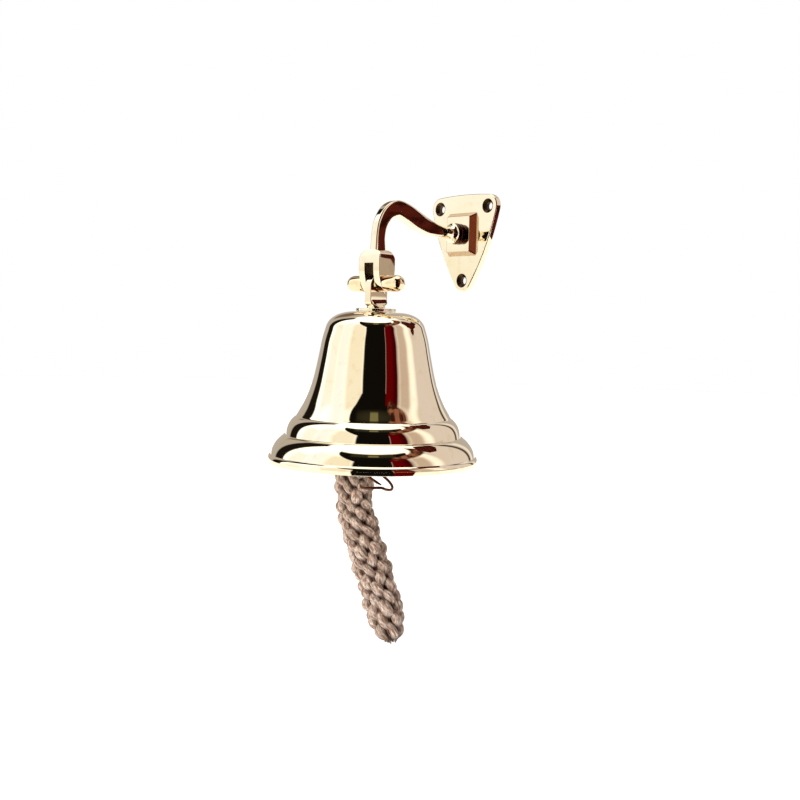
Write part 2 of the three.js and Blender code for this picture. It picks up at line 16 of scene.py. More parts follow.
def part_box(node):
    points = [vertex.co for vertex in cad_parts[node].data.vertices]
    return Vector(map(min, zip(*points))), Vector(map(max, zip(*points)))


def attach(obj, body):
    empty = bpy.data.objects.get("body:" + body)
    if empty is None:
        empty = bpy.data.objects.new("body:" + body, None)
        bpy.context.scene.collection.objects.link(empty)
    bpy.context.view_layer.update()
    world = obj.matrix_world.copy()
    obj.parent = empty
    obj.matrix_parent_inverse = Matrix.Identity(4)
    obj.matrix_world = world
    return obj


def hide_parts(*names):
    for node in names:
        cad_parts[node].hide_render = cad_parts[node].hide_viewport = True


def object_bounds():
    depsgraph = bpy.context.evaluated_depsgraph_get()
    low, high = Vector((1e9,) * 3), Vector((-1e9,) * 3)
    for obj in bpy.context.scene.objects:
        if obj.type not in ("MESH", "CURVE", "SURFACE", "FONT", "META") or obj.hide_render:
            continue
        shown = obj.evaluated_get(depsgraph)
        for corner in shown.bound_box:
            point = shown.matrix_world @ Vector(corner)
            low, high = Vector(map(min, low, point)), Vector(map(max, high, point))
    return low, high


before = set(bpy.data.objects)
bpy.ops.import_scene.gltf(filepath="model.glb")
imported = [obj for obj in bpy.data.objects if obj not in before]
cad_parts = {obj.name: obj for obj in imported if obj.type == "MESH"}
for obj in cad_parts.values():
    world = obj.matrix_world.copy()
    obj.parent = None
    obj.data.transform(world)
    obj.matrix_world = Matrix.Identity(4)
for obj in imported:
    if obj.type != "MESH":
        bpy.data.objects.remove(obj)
cad_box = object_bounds()

MM = 0.001
shell_low, shell_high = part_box("bell_shell")
plate_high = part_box("wall_plate")[1]
BELL_ORIGIN = Vector((0, (shell_low[1] + shell_high[1]) / 2, shell_low[2]))
WALL_TO_BELL_AXIS = (plate_high[1] - BELL_ORIGIN.y) / MM
ARM_HEIGHT = 140           # above the bell's mouth, as the other heights are
PIVOT_HEIGHT = 106
CLAPPER_PIVOT_HEIGHT = 70.5
PLATE_THICKNESS = 4.2
BOSS_HEIGHT = 4.6
SPIGOT_RADIUS = 4          # the arm's end, in the pocket in the boss
SPIGOT_LENGTH = 2.3
ARM_BELOW_ORIGIN = ARM_HEIGHT + BELL_ORIGIN.z / MM


def at(x, y, height):
    """A point about the bell's axis, in millimetres, as a place in the frame."""
    return BELL_ORIGIN + Vector((x, y, height)) * MM


def on_wall(x, out, height):
    """A point in millimetres from the plate's back, out of the wall, in the frame."""
    return Vector((x, -out, height)) * MM


def along_pin(x, y, z):
    """A point about the pivot pin, z along it."""
    return at(z, x, PIVOT_HEIGHT + y)


def toward(bearing, rise=0.0):
    """The direction at a bearing from straight out of the wall and a rise, in radians."""
    return Vector((
        math.sin(bearing) * math.cos(rise), -math.cos(bearing) * math.cos(rise), math.sin(rise)))


# ---- Camera ---------------------------------------------------------------------------------

CAMERA_AZIMUTH = math.radians(46.5)
CAMERA_PITCH = math.radians(4.084)
CAMERA_ROLL = math.radians(1.362)
CAMERA_DISTANCE = 646.2
CAMERA_RIGHT = 15.5
CAMERA_UP = 37.4
CAMERA_LENS = 48.67


def make_camera():
    data = bpy.data.cameras.new("camera")
    data.lens = CAMERA_LENS
    data.sensor_width = 36
    data.clip_start = 0.01
    data.clip_end = 50
    camera = bpy.data.objects.new("camera", data)
    bpy.context.collection.objects.link(camera)
    back = toward(CAMERA_AZIMUTH, CAMERA_PITCH)
    level = Vector((math.cos(CAMERA_AZIMUTH), math.sin(CAMERA_AZIMUTH), 0))
    upright = back.cross(level)
    place = back * CAMERA_DISTANCE + level * CAMERA_RIGHT + upright * CAMERA_UP
    right = level * math.cos(CAMERA_ROLL) + upright * math.sin(CAMERA_ROLL)
    up = back.cross(right)
    turned = Matrix((right, up, back)).transposed().to_4x4()
    camera.matrix_world = Matrix.Translation(at(*place)) @ turned
    bpy.context.scene.camera = camera


make_camera()


# ---- Curves and outlines --------------------------------------------------------------------

def spline(points, per_span, alpha=0.5):
    """Points along the Catmull-Rom curve through the given ones; alpha 0.5 is centripetal."""
    given = [np.array(p, float) for p in points]
    knots = [2 * given[0] - given[1], *given, 2 * given[-1] - given[-2]]
    made = []
    for a, b, c, d in zip(knots, knots[1:], knots[2:], knots[3:]):
        t1 = np.linalg.norm(b - a) ** alpha
        t2 = t1 + np.linalg.norm(c - b) ** alpha
        t3 = t2 + np.linalg.norm(d - c) ** alpha
        for i in range(per_span):
            t = t1 + (t2 - t1) * i / per_span
            ab = a * (t1 - t) / t1 + b * t / t1
            bc = b * (t2 - t) / (t2 - t1) + c * (t - t1) / (t2 - t1)
            cd = c * (t3 - t) / (t3 - t2) + d * (t - t2) / (t3 - t2)
            abc = ab * (t2 - t) / t2 + bc * t / t2
            bcd = bc * (t3 - t) / (t3 - t1) + cd * (t - t1) / (t3 - t1)
            made.append(abc * (t2 - t) / (t2 - t1) + bcd * (t - t1) / (t2 - t1))
    made.append(given[-1])
    return made


def bezier(points, steps):
    """Points along a Bezier curve of any degree."""
    degree = len(points) - 1
    made = []
    for i in range(steps + 1):
        t = i / steps
        weights = [
            math.comb(degree, k) * t ** k * (1 - t) ** (degree - k) for k in range(degree + 1)
        ]
        made.append(tuple(sum(w * p[axis] for w, p in zip(weights, points)) for axis in range(2)))
    return made


def rounded(corners, steps=4, closed=False):
    """An outline of (a, b, radius) corners, each rounded by an arc-like curve that starts
    radius away from the corner."""
    count = len(corners)
    made = []
    for i, (a, b, radius) in enumerate(corners):
        if radius == 0 or (not closed and i in (0, count - 1)):
            made.append((a, b))
            continue
        here = Vector((a, b))
        before = Vector(corners[i - 1][:2])
        after = Vector(corners[(i + 1) % count][:2])
        start = here + (before - here).normalized() * min(radius, (before - here).length / 2)
        end = here + (after - here).normalized() * min(radius, (after - here).length / 2)
        made.extend(bezier([start, here, end], steps))
    return made


def rectangle(half_width, half_height, radius, steps=4):
    """Rounded rectangle, anticlockwise from its right side."""
    return rounded([
        (half_width, half_height, radius), (-half_width, half_height, radius),
        (-half_width, -half_height, radius), (half_width, -half_height, radius),
    ], steps, closed=True)


def superellipse(half_width, half_height, power, count=64):
    """Outline between an ellipse and a rectangle; the power says how square it is."""
    made = []
    for i in range(count):
        angle = (i + 0.5) / count * math.tau
        c, s = math.cos(angle), math.sin(angle)
        made.append((
            half_width * math.copysign(abs(c) ** (2 / power), c),
            half_height * math.copysign(abs(s) ** (2 / power), s),
        ))
    return made


def quarter_turn(steps):
    return [math.pi / 2 * i / steps for i in range(steps + 1)]


def circle(centre, across, up, radius, sides):
    """Points round a centre in the plane of two directions."""
    turns = [math.tau * k / sides for k in range(sides)]
    return [centre + (across * math.cos(a) + up * math.sin(a)) * radius for a in turns]


def tangent_at(points, i):
    return (points[min(i + 1, len(points) - 1)] - points[max(i - 1, 0)]).normalized()


def sweep(points, radius_at, sides):
    """Circles square to a path, turned as little as possible from one to the next. The radius
    goes by the share of the path."""
    normal = tangent_at(points, 0).orthogonal()
    rings = []
    for i, p in enumerate(points):
        tangent = tangent_at(points, i)
        normal = (normal - tangent * normal.dot(tangent)).normalized()
        radius = radius_at(i / (len(points) - 1))
        rings.append(circle(p, normal, tangent.cross(normal), radius, sides))
    return rings


# ---- Meshes ---------------------------------------------------------------------------------

def bridge(mesh, row, after):
    """Faces between two closed rows of points."""
    return [
        mesh.faces.new(corners)
        for corners in zip(row, row[1:] + row[:1], after[1:] + after[:1], after)
    ]


def skin(mesh, rings, capped=True):
    """Closed skin over rings of equally many points."""
    rows = [[mesh.verts.new(p) for p in ring] for ring in rings]
    for row, after in zip(rows, rows[1:]):
        bridge(mesh, row, after)
    if capped:
        mesh.faces.new(list(reversed(rows[0])))
        mesh.faces.new(rows[-1])
    return rows


def lathe(mesh, profile, place, segments=96, closed=False):
    """Turns a profile of (radius, height). place(x, y, z) says where each point goes. A radius
    of 0 gives a pole."""
    rows = []
    for radius, height in profile:
        if radius < 1e-6:
            rows.append([mesh.verts.new(place(0, 0, height))])
            continue
        rows.append([
            mesh.verts.new(place(
                radius * math.cos(math.tau * i / segments),
                radius * math.sin(math.tau * i / segments), height))
            for i in range(segments)
        ])
    pairs = list(zip(rows, rows[1:]))
    if closed:
        pairs.append((rows[-1], rows[0]))
    for row, after in pairs:
        if len(row) > 1 and len(after) > 1:
            bridge(mesh, row, after)
            continue
        pole, rim = (row[0], after) if len(row) == 1 else (after[0], row)
        for i in range(segments):
            mesh.faces.new((pole, rim[i], rim[(i + 1) % segments]))
    return rows


def plug(radius, low, high, place, material, segments=64):
    """Solid cylinder that cuts a hole."""
    mesh = bmesh.new()
    lathe(mesh, [(0, low), (radius, low), (radius, high), (0, high)], place, segments)
    return as_object("plug", mesh, material)


def flat_fill(mesh, *rows):
    """Fills the flat area between an outline and the holes in it."""
    edges = []
    for row in rows:
        for pair in zip(row, row[1:] + row[:1]):
            edges.append(mesh.edges.get(pair) or mesh.edges.new(pair))
    bmesh.ops.triangle_fill(mesh, edges=edges, use_beauty=True)


def paint_others(mesh, known, index):
    """Gives each face that isn't in known the material of that index."""
    for face in set(mesh.faces) - known:
        face.material_index = index


def paint_rows(mesh, rows):
    """Gives the faces between these rows of points the second material."""
    chosen = {v for row in rows for v in row}
    for face in mesh.faces:
        face.material_index = int(all(v in chosen for v in face.verts))


def as_object(name, mesh, *materials, sharp=35):
    bmesh.ops.recalc_face_normals(mesh, faces=mesh.faces)
    data = bpy.data.meshes.new(name)
    mesh.to_mesh(data)
    mesh.free()
    for material in materials:
        data.materials.append(material)
    data.shade_smooth()
    data.set_sharp_from_angle(angle=math.radians(sharp))
    made = bpy.data.objects.new(name, data)
    bpy.context.collection.objects.link(made)
    return made


def combine(base, operation, *tools):
    """Joins or cuts base with the tools, which are used up."""
    for tool in tools:
        modifier = base.modifiers.new(tool.name, "BOOLEAN")
        modifier.operation = operation
        modifier.solver = "EXACT"
        modifier.object = tool
        modifier.material_mode = "TRANSFER"
    bpy.context.view_layer.update()
    result = bpy.data.meshes.new_from_object(
        base.evaluated_get(bpy.context.evaluated_depsgraph_get()))
    base.modifiers.clear()
    base.data = result
    for tool in tools:
        bpy.data.objects.remove(tool)
    return base


def keep_flats_flat(piece):
    """Shades wide faces flat up to their rounded edges."""
    modifier = piece.modifiers.new("flats", "WEIGHTED_NORMAL")
    modifier.keep_sharp = True
    modifier.weight = 100


def belongs(piece, body, slot, *nodes):
    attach(piece, body)
    if nodes:
        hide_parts(*nodes)
    return piece


# ---- Materials ------------------------------------------------------------------------------

class Nodes:
    """Short names for making a node tree."""

    def __init__(self, tree):
        self.tree = tree

    def feed(self, socket, value):
        """Links a socket to another one or sets it. A colour is given as three numbers."""
        if isinstance(value, bpy.types.NodeSocket):
            self.tree.links.new(value, socket)
        else:
            socket.default_value = (*value, 1) if socket.type == "RGBA" else value

    def node(self, kind, *values, **named):
        made = self.tree.nodes.new(kind)
        for socket, value in zip(made.inputs, values):
            self.feed(socket, value)
        for name, value in named.items():
            self.feed(made.inputs[name.replace("_", " ")], value)
        return made

    def calc(self, operation, *values):
        made = self.node("ShaderNodeMath", *values)
        made.operation = operation
        return made.outputs[0]

    def place(self, stretch=(1, 1, 1), coordinate=None):
        """The given coordinates, or the object's own, stretched."""
        coordinate = coordinate or self.node("ShaderNodeTexCoord").outputs["Object"]
        return self.node("ShaderNodeMapping", Vector=coordinate, Scale=stretch).outputs["Vector"]

    def noise(self, scale, detail=2, vector=None, roughness=0.5):
        return self.node(
            "ShaderNodeTexNoise", Vector=vector or self.place(), Scale=scale, Detail=detail,
            Roughness=roughness).outputs["Fac"]

    def spread(self, value, low, high, to_low, to_high):
        return self.node("ShaderNodeMapRange", value, low, high, to_low, to_high).outputs[0]

    def mix(self, share, first, second):
        made = self.tree.nodes.new("ShaderNodeMix")
        made.data_type = "RGBA"
        for socket, value in ((0, share), (6, first), (7, second)):
            self.feed(made.inputs[socket], value)
        return made.outputs[2]

    def bump(self, height, distance, normal=None):
        made = self.node("ShaderNodeBump", Height=height, Distance=distance, Strength=1)
        if normal:
            self.feed(made.inputs["Normal"], normal)
        return made.outputs["Normal"]


class Graph(Nodes):
    """A material's nodes, with the shader's uniform settings given by name."""

    def __init__(self, name, **settings):
        self.material = bpy.data.materials.new(name)
        self.material.use_nodes = True
        super().__init__(self.material.node_tree)
        self.shader = self.tree.nodes["Principled BSDF"]
        for setting, value in settings.items():
            self.into(setting.replace("_", " "), value)

    def into(self, name, value):
        self.feed(self.shader.inputs[name], value)


def brass(name, color, warm, rough, waviness, grain=0.0, turning=0.0):
    """Polished or cast brass: slow colour changes, a fine haze and hairlines in its gloss, the
    slight waves that buffing leaves, and turning rings or casting grain where it has them."""
    graph = Graph(name, Metallic=1)
    tint = graph.noise(38, 3)
    stain = graph.spread(graph.noise(210, 4), 0.56, 0.8, 0, 0.35)
    base = graph.mix(graph.spread(tint, 0.3, 0.7, 0, 1), color, warm)
    tarnish = tuple(c * f for c, f in zip(warm, (0.72, 0.6, 0.5)))
    graph.into("Base Color", graph.mix(stain, base, tarnish))
    hairline = graph.noise(160, 3, graph.place((1, 1, 9)))
    haze = graph.spread(graph.noise(90, 3), 0.35, 0.75, rough * 0.6, rough * 1.5)
    scratched = graph.spread(hairline, 0.5, 0.75, 0, rough * 0.8)
    graph.into("Roughness", graph.calc("ADD", haze, scratched))
    normal = graph.bump(graph.noise(55, 1), waviness * MM)
    if turning:
        rings = graph.node("ShaderNodeTexWave", Vector=graph.place(), Scale=420, Distortion=0.6)
        rings.bands_direction = "Z"
        normal = graph.bump(rings.outputs["Fac"], turning * MM, normal=normal)
    if grain:
        normal = graph.bump(graph.noise(1500, 4), grain * MM, normal=normal)
    graph.into("Normal", normal)
    return graph.material


def plated_steel():
    graph = Graph("zinc_plated_steel", Metallic=1)
    mottle = graph.spread(graph.noise(420, 4), 0.3, 0.7, 0, 1)
    graph.into("Base Color", graph.mix(mottle, (0.56, 0.57, 0.58), (0.72, 0.72, 0.7)))
    graph.into("Roughness", graph.spread(graph.noise(700, 3), 0.3, 0.7, 0.22, 0.4))
    graph.into("Normal", graph.bump(graph.noise(1800, 3), 0.01 * MM))
    return graph.material


CREVICE = 4.5              # how near another strand is for the cotton to darken with painted shade


def cotton(name, light, dark, hollow_shade):
    """Laid cotton yarn: fibres run along each strand, and painted shade darkens it in between."""
    graph = Graph(
        name, Roughness=0.93, Sheen_Weight=0.15, Sheen_Roughness=0.5, Specular_IOR_Level=0.2)
    strand = graph.node("ShaderNodeUVMap")
    strand.uv_map = "strand"
    fibre = graph.noise(1, 5, graph.place((13, 2.6, 1), strand.outputs["UV"]), 0.62)
    thread = graph.noise(1, 3, graph.place((34, 5, 1), strand.outputs["UV"]), 0.6)
    depth = graph.node("ShaderNodeAttribute")
    depth.attribute_name = "depth"
    cloudy = graph.mix(graph.spread(graph.noise(160, 3), 0.45, 0.75, 0, 0.4), light, dark)
    streaked = graph.mix(graph.spread(fibre, 0.4, 0.54, 0.9, 0), cloudy, dark)
    # Painted shade: deep parts of the strands and crevices near other strands take the hollow shade
    # colour.
    shaded = graph.mix(graph.spread(depth.outputs["Fac"], 0.2, 0.8, 0, 1), streaked, hollow_shade)
    nearby = graph.node("ShaderNodeAmbientOcclusion", Distance=CREVICE * MM)
    nearby.samples = 6
    shaded = graph.mix(graph.spread(nearby.outputs["AO"], 0.2, 0.72, 1, 0), shaded, hollow_shade)
    graph.into("Base Color", graph.mix(graph.spread(thread, 0.43, 0.56, 0.65, 0), shaded, dark))
    graph.into("Normal", graph.bump(thread, 0.6 * MM, graph.bump(fibre, 2.2 * MM)))
    return graph.material


POLISHED = brass("polished_brass", (0.95, 0.85, 0.65), (0.93, 0.8, 0.56), 0.035, 0.02)
SPUN = brass(
    "spun_polished_brass", (0.95, 0.86, 0.67), (0.94, 0.82, 0.59), 0.03, 0.008, turning=0.0006)
TURNED = brass("turned_brass", (0.94, 0.8, 0.56), (0.9, 0.72, 0.44), 0.05, 0.01, turning=0.0015)
CAST = brass("cast_brass", (0.72, 0.54, 0.27), (0.58, 0.42, 0.2), 0.24, 0.05, grain=0.03)
WIRE = brass("brass_wire", (0.16, 0.06, 0.025), (0.09, 0.03, 0.014), 0.22, 0.02, grain=0.004)
# Dark brass for the fork's slot: unpolished, and darkened further as painted shade.
UNPOLISHED_SHADED = brass("unpolished_brass_in_shade", (0.2, 0.14, 0.07), (0.1, 0.06, 0.03), 0.4, 0.03, grain=0.02)
# Near-black brass for the holes and the pocket: painted shade in them, over real turning marks.
BORE = brass(
    "drilled_brass_in_shade", (0.1, 0.06, 0.03), (0.05, 0.025, 0.012), 0.3, 0.02, turning=0.004)
# Rougher, darker brass for the boss's sides: the roughness is brushing, the darker colour is
# painted shade.
EDGE = brass("brushed_brass_in_shade", (0.6, 0.45, 0.29), (0.5, 0.35, 0.22), 0.12, 0.02)
# Near-black brass for the collar's rim: painted shade.
SHADED_RIM = brass("shaded_rim_brass", (0.08, 0.02, 0.009), (0.035, 0.009, 0.005), 0.13, 0.02)
ZINC = plated_steel()
# The rope's last colour is the painted shade of its hollows.
COTTON = cotton("cotton_rope", (0.87, 0.73, 0.63), (0.25, 0.135, 0.08), (0.03, 0.009, 0.003))


# ---- Rope -----------------------------------------------------------------------------------

# The rope's line from the wire ring to its cut end: (x, height above the mouth).
ROPE_ROUTE = [
    (-16.3, -1), (-16.4, -9), (-16.2, -17), (-15.3, -25), (-13.4, -33), (-10.4, -41), (-6.6, -49),
    (-2.4, -57), (2.0, -65), (6.5, -73), (10.9, -81), (14.8, -89), (17.8, -97), (19.8, -105),
]
ROPE_EYE_ROUTE = [
    (-12.5, 1.15), (-6.5, 1.1), (-2.6, 0.3), (0.4, -0.8), (3.0, -2.6), (3.4, -5), (1.6, -7),
    (-1.6, -7.7), (-4.2, -8.2), (-6.6, -8.9),
]
ROPE_EYE_Y = -5.6
ROPE_RIDGES = 6
ROPE_LEAD = 84             # length in which a ridge goes once round
RIDGE_RADIUS = 8
CORE_RADIUS = 7.3
FIBRE_RADIUS = 10.4        # where the loose hairs start
BIGHT_STEP = 5.9           # from one bight to the next along the rope
BIGHT_REACH = 6.6          # half a bight's length
BIGHT_TILT = math.radians(9)
BIGHT_FOOT = 3.6           # from the rope's centreline to a bight's at its ends
BIGHT_RISE = 5.2           # how much further out it is in its middle
BIGHT_TIP = 0.35           # its radius at its ends
BIGHT_FULLNESS = 2.85      # how much thicker it is in its middle
ROPE_TAPER = 17            # the length over which the end narrows


class RopeLine:
    """The rope's centreline with a frame at each length along it, in millimetres."""

    def __init__(self, route):
        self.points = [Vector((x, 0, z)) for x, z in spline(route, 12)]
        self.reach = [0.0]
        for a, b in zip(self.points, self.points[1:]):
            self.reach.append(self.reach[-1] + (b - a).length)
        self.length = self.reach[-1]

    def frame(self, distance):
        """Place, direction, and the two directions square to it."""
        held = min(max(distance, 0), self.length)
        i = 0
        while i < len(self.points) - 2 and self.reach[i + 1] < held:
            i += 1
        before, after = self.points[i], self.points[i + 1]
        share = (held - self.reach[i]) / (self.reach[i + 1] - self.reach[i])
        ahead = self.points[min(i + 2, len(self.points) - 1)]
        behind = self.points[max(i - 1, 0)]
        tangent = (after - behind).lerp(ahead - before, share).normalized()
        place = before.lerp(after, share) + tangent * (distance - held)
        front = Vector((0, -1, 0))
        return place, tangent, tangent.cross(front), front

    def around(self, distance, angle, radius):
        place, tangent, side, front = self.frame(distance)
        outward = side * math.cos(angle) + front * math.sin(angle)
        return place + outward * radius, tangent, outward


ROPE_LINE = RopeLine(ROPE_ROUTE)


def rope_size(distance):
    """How full the rope is at a length along it, 1 in its middle."""
    left = max(0.0, min(1.0, (ROPE_LINE.length - distance) / ROPE_TAPER))
    top = max(0.0, min(1.0, (distance + 6) / 14))
    return (0.5 + 0.5 * left ** 0.6) * (0.9 + 0.1 * top)


def strand(mesh, layers, rings, shade):
    """Closed tube over rings of points in the frame, with its own coordinates: once round in u and
    along it in v, and how deep it lies, which the cotton paints as shade."""
    uv, depth = layers
    rows = [[mesh.verts.new(p) for p in ring] for ring in rings]
    count = len(rings[0])
    last = len(rows) - 1
    start = random.random() * 7
    for i, row in enumerate(rows):
        for v in row:
            v[depth] = shade(i / last)
    for i, (row, after) in enumerate(zip(rows, rows[1:])):
        for k, face in enumerate(bridge(mesh, row, after)):
            for loop, a, e in zip(face.loops, (k, k + 1, k + 1, k), (i, i, i + 1, i + 1)):
                loop[uv].uv = (start + a / count, start + e / last)
    mesh.faces.new(list(reversed(rows[0])))
    mesh.faces.new(rows[-1])


def bight(mesh, layers, distance, angle):
    """One plump part of a strand that comes up between its neighbours and goes down again."""
    size = rope_size(distance) * random.uniform(0.92, 1.06)
    tilt = BIGHT_TILT + random.uniform(-0.22, 0.22)
    sink = random.uniform(-0.5, 0.25)
    twist = random.uniform(0, math.tau)
    rings = []
    steps, sides = 18, 30
    for i in range(steps + 1):
        t = 2 * i / steps - 1
        along = t * BIGHT_REACH * math.cos(tilt)
        turn = angle + t * BIGHT_REACH * math.sin(tilt) / RIDGE_RADIUS
        rise = 1 - abs(t) ** 2.2
        centre, tangent, outward = ROPE_LINE.around(
            distance + along, turn, (BIGHT_FOOT + BIGHT_RISE * rise + sink) * size)
        across = tangent.cross(outward)
        lean = (across * math.sin(tilt) + tangent * math.cos(tilt)).normalized()
        across = outward.cross(lean)
        full = max(0.0, 1 - abs(t) ** 3.4) ** 0.5
        radius = (BIGHT_TIP + BIGHT_FULLNESS * full) * size
        ring = []
        for k in range(sides):
            a = math.tau * k / sides
            plied = radius * (0.9 + 0.16 * abs(math.sin(3 * a + twist + 2.4 * t)))
            ring.append(at(*(
                centre + across * (plied * math.cos(a)) + outward * (plied * math.sin(a)))))
        rings.append(ring)
    # The ends, where the bight dives under its neighbours, get painted shade.
    strand(mesh, layers, rings, lambda share: abs(2 * share - 1) ** 2.5 * 0.9)


def yarn(mesh, layers, points, radius, shade, sides=8, taper=0.45):
    """A thin yarn or fibre through points about the bell's axis."""
    rings = sweep(points, lambda share: radius * (1 - (1 - taper) * share), sides)
    strand(mesh, layers, [[at(*p) for p in ring] for ring in rings], lambda share: shade)


def rope_layers(mesh):
    return mesh.loops.layers.uv.new("strand"), mesh.verts.layers.float.new("depth")


def rope_core(mesh, layers):
    rings = []
    steps = 60
    for i in range(steps + 1):
        distance = 1 + (ROPE_LINE.length - 7) * i / steps
        radius = CORE_RADIUS * rope_size(distance)
        rings.append([
            at(*ROPE_LINE.around(distance, math.tau * k / 24, radius)[0]) for k in range(24)
        ])
    # The core shows only in the gaps between bights and is painted wholly in shade.
    strand(mesh, layers, rings, lambda share: 1.0)


def frayed_end(mesh, layers):
    """The strands' cut ends, which spread a little below the last bights."""
    for _ in range(64):
        angle = random.uniform(0, math.tau)
        start = ROPE_LINE.length - random.uniform(5, 8)
        inner = 4.6 * math.sqrt(random.uniform(0.01, 1))
        outer = inner * random.uniform(0.75, 1.15)
        tip = random.uniform(-1.8, 1.3) - 0.25 * inner
        points = [
            ROPE_LINE.around(start + (ROPE_LINE.length + tip - start) * k / 6,
                             angle + 0.12 * k, inner + (outer - inner) * k / 6)[0]
            + Vector((random.uniform(-0.15, 0.15), random.uniform(-0.15, 0.15), 0))
            for k in range(7)
        ]
        yarn(mesh, layers, points, random.uniform(0.55, 0.95), 0.25)


def loose_fibres(mesh, layers):
    """Short hairs that stand off the rope."""
    for _ in range(220):
        distance = random.uniform(0, ROPE_LINE.length - 3)
        angle = random.uniform(0, math.tau)
        size = rope_size(distance)
        start, tangent, outward = ROPE_LINE.around(distance, angle, FIBRE_RADIUS * size)
        along = tangent * random.uniform(-1, 1) + tangent.cross(outward) * random.uniform(-1, 1)
        along.normalize()
        long = random.uniform(1.2, 3.2)
        rise = random.uniform(0.5, 1.3)
        points = [
            start + along * long * k / 3 + outward * rise * math.sin(k / 3 * 2.2) for k in range(4)
        ]
        yarn(mesh, layers, points, 0.07, 0.0, sides=3, taper=0.4)


def make_rope():
    random.seed(11)
    mesh = bmesh.new()
    layers = rope_layers(mesh)
    rope_core(mesh, layers)
    rows = int((ROPE_LINE.length - 9) / BIGHT_STEP)
    for ridge in range(ROPE_RIDGES):
        for row in range(rows + 1):
            distance = 4 + row * BIGHT_STEP
            angle = math.tau * (ridge / ROPE_RIDGES - distance / ROPE_LEAD)
            bight(mesh, layers, distance, angle)
    frayed_end(mesh, layers)
    loose_fibres(mesh, layers)
    rope = as_object("braided_rope", mesh, COTTON, sharp=80)
    return belongs(rope, "lanyard", "cotton_rope", "bell_rope")


def make_rope_eye():
    """The strand that turns over the wire ring: three plies laid together."""
    random.seed(5)
    mesh = bmesh.new()
    layers = rope_layers(mesh)
    route = [Vector((x, ROPE_EYE_Y, z)) for x, z in spline(ROPE_EYE_ROUTE, 8)]
    front = Vector((0, -1, 0))
    for ply in range(3):
        points = []
        for i, p in enumerate(route):
            side = tangent_at(route, i).cross(front)
            angle = math.tau * (ply / 3 + i / 22)
            points.append(p + (side * math.cos(angle) + front * math.sin(angle)) * 0.82)
        yarn(mesh, layers, points, 0.98, 0.2, sides=14, taper=0.95)
    eye = as_object("rope_eye_strand", mesh, COTTON, sharp=80)
    return belongs(eye, "lanyard", "cotton_rope", "rope_eye")


rope = make_rope()
rope_eye = make_rope_eye()


# ---- Wall plate -----------------------------------------------------------------------------

HOLE_SPREAD = 20.5
LOWER_HOLE_DROP = 46
SCREW_HOLE_RADIUS = 2.4
COUNTERSINK_RADIUS = 4.2
PLATE_EDGE = 0.9           # rounding of the plate's front edge
POCKET_GAP = 0.3
ARM_SCREW_HOLE_RADIUS = 2.8
RECESS_RADIUS = 6          # for the arm screw's head, at the plate's back
RECESS_DEPTH = 3.6
BOSS_HALF_WIDTH = 12
BOSS_HALF_HEIGHT = 13.5
# The boss's side: how far in from its foot, and how far out of the plate's face.
BOSS_SIDE = [
    (-0.046, 0), (0.166, 0.142), (0.304, 0.668), (2.07, 4.14), (2.228, 4.416), (2.377, 4.494),
    (2.58, BOSS_HEIGHT),
]


def plate_outline():
    """Three lobes round the screw holes, joined by slightly bowed edges."""
    lobes = [
        (HOLE_SPREAD, 0, 7.2, -14, 85), (-HOLE_SPREAD, 0, 7.2, 95, 194),
        (0, -LOWER_HOLE_DROP, 7, 214, 326),
    ]

    def rim(lobe, degrees):
        x, z, radius = lobe[:3]
        angle = math.radians(degrees)
        outward = Vector((math.cos(angle), math.sin(angle)))
        return Vector((x, z)) + outward * radius, Vector((-outward.y, outward.x))

    outline = []
    for i, lobe in enumerate(lobes):
        following = lobes[(i + 1) % 3]
        turns = 28
        outline += [
            rim(lobe, lobe[3] + (lobe[4] - lobe[3]) * k / turns)[0] for k in range(turns)
        ]
        (start, leaving), (end, arriving) = rim(lobe, lobe[4]), rim(following, following[3])
        across = end - start
        reach = (across.x * arriving.y - across.y * arriving.x) / (
            leaving.x * arriving.y - leaving.y * arriving.x)
        corner = start + leaving * reach
        outline += [Vector(p) for p in bezier([start, corner, end], 40)[:-1]]
    return outline


def inset(outline, distance):
    made = []
    for i, p in enumerate(outline):
        along = (outline[(i + 1) % len(outline)] - outline[i - 1]).normalized()
        made.append(p + Vector((-along.y, along.x)) * distance)
    return made


